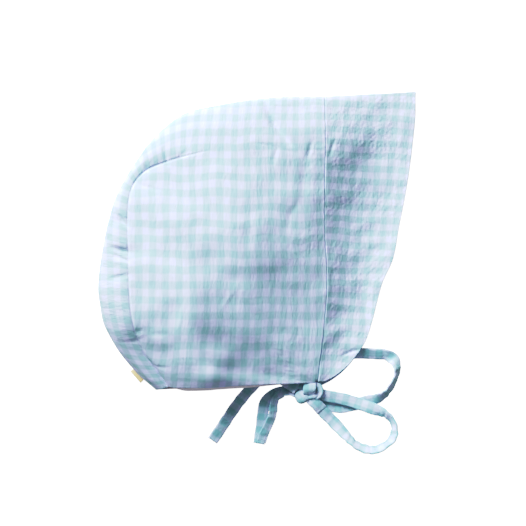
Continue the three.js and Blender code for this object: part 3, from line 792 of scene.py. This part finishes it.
# Routes of the ties from the chin corner in millimetres: x, y, z of the middle, nearly as the solids have
# them, and how far the tie is turned up on its edge there, in degrees. A place is lifted where the edge
# would sink into the table.
TIE_ROUTES = {
    "tie_loop_low": [
        [2.5, -7.6, 4.4, 10], [7.5, -8.9, 4.2, 12], [13.5, -9.9, 3.8, 8], [22, -12, 3.4, 0],
        [29.2, -14.6, 3.1, -10], [37.2, -17.4, 2.8, 10], [43.4, -20, 2.6, 50], [47.4, -24.4, 2.4, 62],
        [49, -29.6, 2.2, 58], [47.6, -35.4, 2, 52], [43.4, -39.6, 1.8, 58], [36.8, -42.6, 1.6, 50],
        [30, -42, 1.4, 46], [23.6, -38.8, 1.2, 52], [18.4, -33.8, 1.2, 36], [13.4, -28.4, 1.4, 12],
        [8, -22.8, 2, 4], [3.2, -17.9, 3.4, 0], [0.2, -14.6, 4.6, 0],
    ],
    "tie_loop_high": [
        [0.4, -10.6, 1.9, 0], [4.8, -13.2, 1.3, 0], [10, -15.4, 0.95, 0], [16, -15.8, 0.95, 0],
        [24, -14.2, 0.95, 0], [30.6, -12.2, 0.95, 10], [37.6, -10.4, 1, 25], [43.6, -6.8, 1, 52],
        [48.4, 0, 1, 60], [50.6, 7.4, 1, 58], [49, 13.8, 1.2, 20], [44, 17.4, 1.8, -18],
        [37, 18, 2.8, -20], [28, 18.4, 3.8, -20], [19, 18.2, 4.3, -10], [10, 15.4, 4.4, 0],
        [3, 10.6, 4.4, 0], [-1.6, 5, 4.4, 0], [-3.2, 0.4, 4.4, 0],
    ],
    "tie_end_long": [
        [-12.7, -4.4, 6.2, 10], [-16.6, -1.4, 5.8, 5], [-21, 1.4, 5, 0], [-26.6, 3.4, 4.3, 0],
        [-32.4, 3.3, 3.9, 0], [-37.4, 1, 3.9, -6], [-41.6, -3, 3.8, -16], [-45.6, -7.6, 3.2, -20],
        [-50.4, -13.6, 2.2, -18], [-56, -21.6, 1.5, -20], [-61.4, -29.8, 1.2, -18],
        [-66.4, -37, 1.2, -16],
    ],
    "tie_end_short": [
        [-13.5, -6.9, 3.2, 50], [-18, -5.4, 2.6, 40], [-23.4, -6, 2.3, 25], [-28.6, -8.6, 2.2, 10],
        [-32.6, -12.2, 2, -12], [-34.2, -17.6, 1.6, -14], [-34.8, -23.4, 1.3, -8], [-35.8, -31.4, 1.2, 0],
        [-37, -39, 1.2, -8],
    ],
}

# What is at each tie's far end, and where the check starts on it.
TIE_FACTS = {
    "tie_loop_low": ("object", 0.25, 0.1),
    "tie_loop_high": ("object", 0.55, 0.3),
    "tie_end_long": ("bare", 0.55, 0.55),
    "tie_end_short": ("bare", 0.5, 0.2),
}

# The short end is folded over itself: its second layer, seen along its right side.
FOLDED_LAYER = [
    [-22.5, -6.8, 2.0, -20], [-26.2, -9.8, 1.8, -30], [-27.6, -14.5, 1.5, -30], [-28.2, -20, 1.3, -30],
    [-30.4, -26, 1.1, -26], [-33.6, -32.5, 1.0, -20], [-35.4, -38, 0.9, -10],
]


def follow(points, spacing):
    """Even places along a smooth line through the points, and how far along each lies."""
    chords = np.linalg.norm(np.diff(points[:, :3], axis=0), axis=1)
    at = np.concatenate([[0], np.cumsum(np.sqrt(chords))])
    fine = interpolate(at, points, np.linspace(0, at[-1], 40 * len(points)), None)
    length = np.concatenate([[0], np.cumsum(np.linalg.norm(np.diff(fine[:, :3], axis=0), axis=1))])
    steps = max(4, int(round(length[-1] / spacing)))
    even = np.linspace(0, length[-1], steps + 1)
    return np.stack([np.interp(even, length, fine[:, k]) for k in range(fine.shape[1])], -1), even


def tape_outline(wide, thick, flat=8, turn=4):
    """The outline of a flat turned tape: across and through, round from its right edge."""
    radius = thick / 2
    run = np.linspace(1, -1, flat)
    bend = np.linspace(-math.pi / 2, math.pi / 2, turn + 2)[1:-1]
    across = np.concatenate([
        run * (wide / 2 - radius), -(wide / 2 - radius) - radius * np.cos(bend),
        -run * (wide / 2 - radius), (wide / 2 - radius) + radius * np.cos(bend),
    ])
    through = np.concatenate([
        np.full(flat, radius), -radius * np.sin(bend),
        np.full(flat, -radius), radius * np.sin(bend),
    ])
    return across, through


def strap(name, route, material, nodes, check_from, seed, wide=TIE_WIDTH, thick=TIE_WALL):
    """A flat tape along a route of (x, y, z, turned up in degrees), and its path and length in metres."""
    line, along = follow(np.array(route, float), 0.9)
    turned = np.radians(line[:, 3])
    centre = line[:, :3]
    clear = 0.2 + wide / 2 * np.abs(np.sin(turned)) + thick / 2 * np.cos(turned)
    centre[:, 2] = np.maximum(centre[:, 2], clear)
    tangent = unit(np.gradient(centre, axis=0))
    side = unit(np.cross(np.array([0, 0, 1.0]), tangent))
    up = np.cross(tangent, side)
    lean_side = side * np.cos(turned)[:, None] + up * np.sin(turned)[:, None]
    lean_up = np.cross(tangent, lean_side)
    across, through = tape_outline(wide, thick)
    rng = np.random.RandomState(seed)
    phase = rng.uniform(0, 6.28, 6)

    # Where the tape stands on its edge it is drawn in and ripples more.
    bends = smooth_step(10, 45, np.degrees(np.abs(turned)))
    width = 1 + 0.03 * np.sin(along * 0.7 + phase[0])
    width -= bends * 0.1 * (1 + np.sin(along * 1.1 + phase[1])) / 2
    wander = 2.2 * np.sin(along[:, None] * 0.37 + phase[3])
    ripple = (0.08 + 0.14 * bends)[:, None] * np.sin(
        along[:, None] * 0.9 + phase[2] + across[None] * 0.35 + wander
    )
    middle = np.cos(across / wide * math.pi)[None] ** 2
    swell = 1 + 0.35 * middle * (0.6 + 0.4 * np.sin(along * 0.5)[:, None])
    ring = (
        centre[:, None]
        + lean_side[:, None] * (across[None] * width[:, None])[..., None]
        + lean_up[:, None] * (through[None] * swell + ripple)[..., None]
    )
    ring[..., 2] = np.maximum(ring[..., 2], 0.05)

    # The check runs round the tape, so the faces of the last column end in places of their own.
    rows, columns = ring.shape[:2]
    index = np.arange(rows * columns).reshape(rows, columns)
    after = np.roll(index, -1, axis=1)
    quads = np.stack([index[:-1], after[:-1], after[1:], index[1:]], -1).reshape(-1, 4)
    outline = np.concatenate([[0], np.cumsum(np.hypot(np.diff(across), np.diff(through)))])
    total = outline[-1] + math.hypot(across[0] - across[-1], through[0] - through[-1])
    u = np.broadcast_to(outline / TIE_REPEAT + check_from[0], (rows, columns))
    v = np.broadcast_to((along / TIE_REPEAT + check_from[1])[:, None], (rows, columns))
    place = np.stack([u, v], -1).reshape(-1, 2)
    wrap = np.stack([np.full(rows, total / TIE_REPEAT + check_from[0]), v[:, 0]], -1)
    row = np.repeat(np.arange(rows - 1), columns)
    column = np.tile(np.arange(columns), rows - 1)
    last = column == columns - 1
    corners = place[quads].copy()
    corners[last, 1] = wrap[row[last]]
    corners[last, 2] = wrap[row[last] + 1]
    faces = quads.tolist() + [index[0][::-1].tolist(), index[-1].tolist()]
    ends = [place[index[0][::-1]], place[index[-1]]]
    checks = np.concatenate([corners.reshape(-1, 2), *ends])
    piece = make_object(name, ring.reshape(-1, 3), faces, checks, material, nodes)
    return piece, centre * MM + CHIN, along[-1] * MM


def make_ties(material):
    for seed, (name, (far_end, u, v)) in enumerate(TIE_FACTS.items()):
        piece, path, length = strap(name + "_tape", TIE_ROUTES[name], material, [name], (u, v), seed)
        others = []
        if name == "tie_end_short":
            others = [strap("folded_layer", FOLDED_LAYER, material, (), (0.5, 0.6), 9, 6.2, 0.9)[0]]


def pad(name, centre, half, turned, material, nodes=()):
    """A soft rounded cushion of cloth. turned is its turn as seen from above, in degrees."""
    rows, columns = 25, 48
    lift, round_way = np.meshgrid(
        np.linspace(-math.pi / 2, math.pi / 2, rows)[1:-1], np.linspace(0, 2 * math.pi, columns + 1)[:-1],
        indexing="ij",
    )

    def blunt(value):
        return np.sign(value) * np.abs(value) ** 0.75

    level = blunt(np.cos(lift))
    local = np.stack([
        level * blunt(np.cos(round_way)) * half[0], level * blunt(np.sin(round_way)) * half[1],
        blunt(np.sin(lift)) * half[2],
    ], -1).reshape(-1, 3)
    local = np.concatenate([local, [[0, 0, -half[2]], [0, 0, half[2]]]])
    local[:, 2] += 0.12 * np.sin(local[:, 0] * 1.9 + local[:, 1] * 0.8)
    angle = math.radians(turned)
    x, y = local[:, 0].copy(), local[:, 1].copy()
    points = np.stack([
        x * math.cos(angle) - y * math.sin(angle), x * math.sin(angle) + y * math.cos(angle), local[:, 2],
    ], -1) + centre
    points[:, 2] = np.maximum(points[:, 2], 0.1)
    index = np.arange((rows - 2) * columns).reshape(rows - 2, columns)
    after = np.roll(index, -1, axis=1)
    quads = np.stack([index[:-1], after[:-1], after[1:], index[1:]], -1).reshape(-1, 4).tolist()
    south, north = len(points) - 2, len(points) - 1
    caps = [[south, int(b), int(a)] for a, b in zip(index[0], after[0])]
    caps += [[north, int(a), int(b)] for a, b in zip(index[-1], after[-1])]
    faces = quads + caps
    places = np.stack([x, y], -1) / TIE_REPEAT + 0.3
    checks = np.concatenate([places[face] for face in faces])
    return make_object(name, points, faces, checks, material, nodes)


# The knot's short straps: a route as above, a width and a thickness.
KNOT_STRAPS = {
    "knot_chin_strap": (
        [[-4.6, 1.8, 6.8, 0], [-4.8, -0.8, 8.6, 4], [-5.0, -4.2, 8.9, 0], [-5.4, -7.2, 7.0, -10]], 8.0, 1.4,
    ),
    "knot_lobe": (
        [[-3.4, -0.8, 6.6, 10], [-0.4, -1.6, 7.1, 18], [1.5, -4.6, 6.8, 20], [0.4, -7.6, 6.0, 18],
         [-2.6, -9.2, 4.8, 10]], 5.2, 1.6,
    ),
    "knot_low_strand": (
        [[2.9, -17.6, 3.6, 0], [0.2, -14.4, 4.9, 0], [-2.6, -11.6, 5.6, 0], [-4.8, -9.0, 5.2, 0]], 7.5, 1.3,
    ),
    "knot_strand": (
        [[-16.6, -3.8, 3.2, -20], [-13.2, -2.0, 4.8, -24], [-9.6, -1.6, 5.8, -20], [-6.0, -3.4, 5.6, -10]],
        5.0, 1.4,
    ),
}


def make_knot(material):
    """The knot from pads and short straps. Its core stands for the ties' short stretches into it too."""
    replaced = ["bow_knot", "tie_upper", "tie_lower"]
    pad("knot_core", (-5.8, -7.0, 3.3), (7.6, 4.6, 3.1), -18, material, replaced)
    pad("knot_front", (-9.5, -8.7, 5.0), (4.7, 4.5, 3.0), 28, material)
    pad("knot_roll", (-2.8, -8.6, 6.0), (3.6, 1.7, 1.5), 12, material)
    for seed, (name, (route, wide, thick)) in enumerate(KNOT_STRAPS.items()):
        strap(name, route, material, (), (0.1 * seed + 0.3, 0.3), 20 + seed, wide, thick)


# The label's place round the hood and along a section, its height, width and thickness, and how far it
# starts before the middle of its tab.
LABEL_AT = (0.07, 0.59)
LABEL_LEVEL, LABEL_WIDTH, LABEL_WALL = 1.6, 9.8, 0.75
LABEL_HIDDEN = 4.4


def make_label(material):
    """The plain tab, which comes out from under the hood near the nape."""
    low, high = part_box("label_tab")
    centre = (np.array(low + high) / 2 - CHIN) / MM
    base = smooth_hood(np.array([LABEL_AT[0]]), [LABEL_AT[1]])[0, 0]
    out = unit((centre - base) * (1, 1, 0))
    start = centre - out * LABEL_HIDDEN
    route = [[*(start + out * s)[:2], LABEL_LEVEL, 0] for s in (0, 2.0, 4.0, 6.0, 7.2)]
    strap(
        "label_ribbon", route, material, ["label_tab"], (0.0, 0.0), 40, LABEL_WIDTH, LABEL_WALL
    )


# Floor and light. The floor glows a little, as a light table does, so that no hard shadow shows.
FLOOR_GLOW = 2.3
FLOOR_HALF = 3.0
FLOOR_DROP = 0.0002
WORLD_COLOUR = (1.0, 0.985, 0.965, 1)
WORLD_LIGHT = 0.32
WINDOW_PLACE = (-0.9, 1.36, 0.95)
WINDOW_SIZE = 1.0
WINDOW_POWER = 146


def make_floor():
    mesh = bpy.data.meshes.new("floor")
    corners = [(x * FLOOR_HALF, y * FLOOR_HALF, 0) for x, y in ((-1, -1), (1, -1), (1, 1), (-1, 1))]
    mesh.from_pydata(corners, [], [(0, 1, 2, 3)])
    floor = bpy.data.objects.new("floor", mesh)
    floor.location.z = -FLOOR_DROP
    shader = Shader("floor")
    shader.surface.inputs["Base Color"].default_value = (0.93, 0.93, 0.93, 1)
    shader.surface.inputs["Roughness"].default_value = 0.9
    shader.surface.inputs["Specular IOR Level"].default_value = 0.1
    shader.surface.inputs["Emission Color"].default_value = (1, 1, 1, 1)
    shader.surface.inputs["Emission Strength"].default_value = FLOOR_GLOW
    mesh.materials.append(shader.material)
    bpy.context.scene.collection.objects.link(floor)
    floor.visible_diffuse = False


def make_window():
    """A soft light about 30 degrees above the table, at the upper left of the picture."""
    data = bpy.data.lights.new("window", "AREA")
    data.size = WINDOW_SIZE
    data.energy = WINDOW_POWER
    lamp = bpy.data.objects.new("window", data)
    lamp.location = WINDOW_PLACE
    lamp.rotation_mode = "QUATERNION"
    lamp.rotation_quaternion = (-Vector(WINDOW_PLACE)).to_track_quat("-Z", "Y")
    bpy.context.scene.collection.objects.link(lamp)


# Brightness in the scene and in the picture. Highlights are drawn softly, as on a bright studio photograph.
TONES = [
    (0.15, 0.12), (0.31, 0.31), (0.41, 0.41), (0.54, 0.523), (0.63, 0.586), (0.83, 0.687),
    (1.13, 0.782), (1.6, 0.875), (1.9, 0.94),
]
BRIGHTEST = 2.1


def soften_highlights():
    view = bpy.context.scene.view_settings
    view.view_transform = "Standard"
    view.look = "None"
    view.use_curve_mapping = True
    view.curve_mapping.white_level = (BRIGHTEST,) * 3
    curve = view.curve_mapping.curves[3]
    for scene_value, picture_value in TONES:
        curve.points.new(scene_value / BRIGHTEST, picture_value)
    view.curve_mapping.update()


def make_light():
    world = bpy.data.worlds.new("studio")
    world.use_nodes = True
    background = world.node_tree.nodes["Background"]
    background.inputs[0].default_value = WORLD_COLOUR
    background.inputs[1].default_value = WORLD_LIGHT
    bpy.context.scene.world = world
    make_window()
    soften_highlights()


make_camera()
hood_gingham = gingham("gingham")
# The ties, the folded layer and the knot all take the tie check, whose darker colours paint in the bonnet's
# shade.
tie_gingham_shaded = gingham("tie", TIE_WHITE_SHADED, TIE_MINT_SHADED)
make_ties(tie_gingham_shaded)
make_knot(tie_gingham_shaded)
hood = make_hood(hood_gingham)
lining = make_lining(plain_cotton("lining", LINING_COLOUR))
brim = make_brim(gingham("brim_gingham", rows=0.56))
make_label(label_ribbon())
make_floor()
make_light()

bpy.context.view_layer.update()
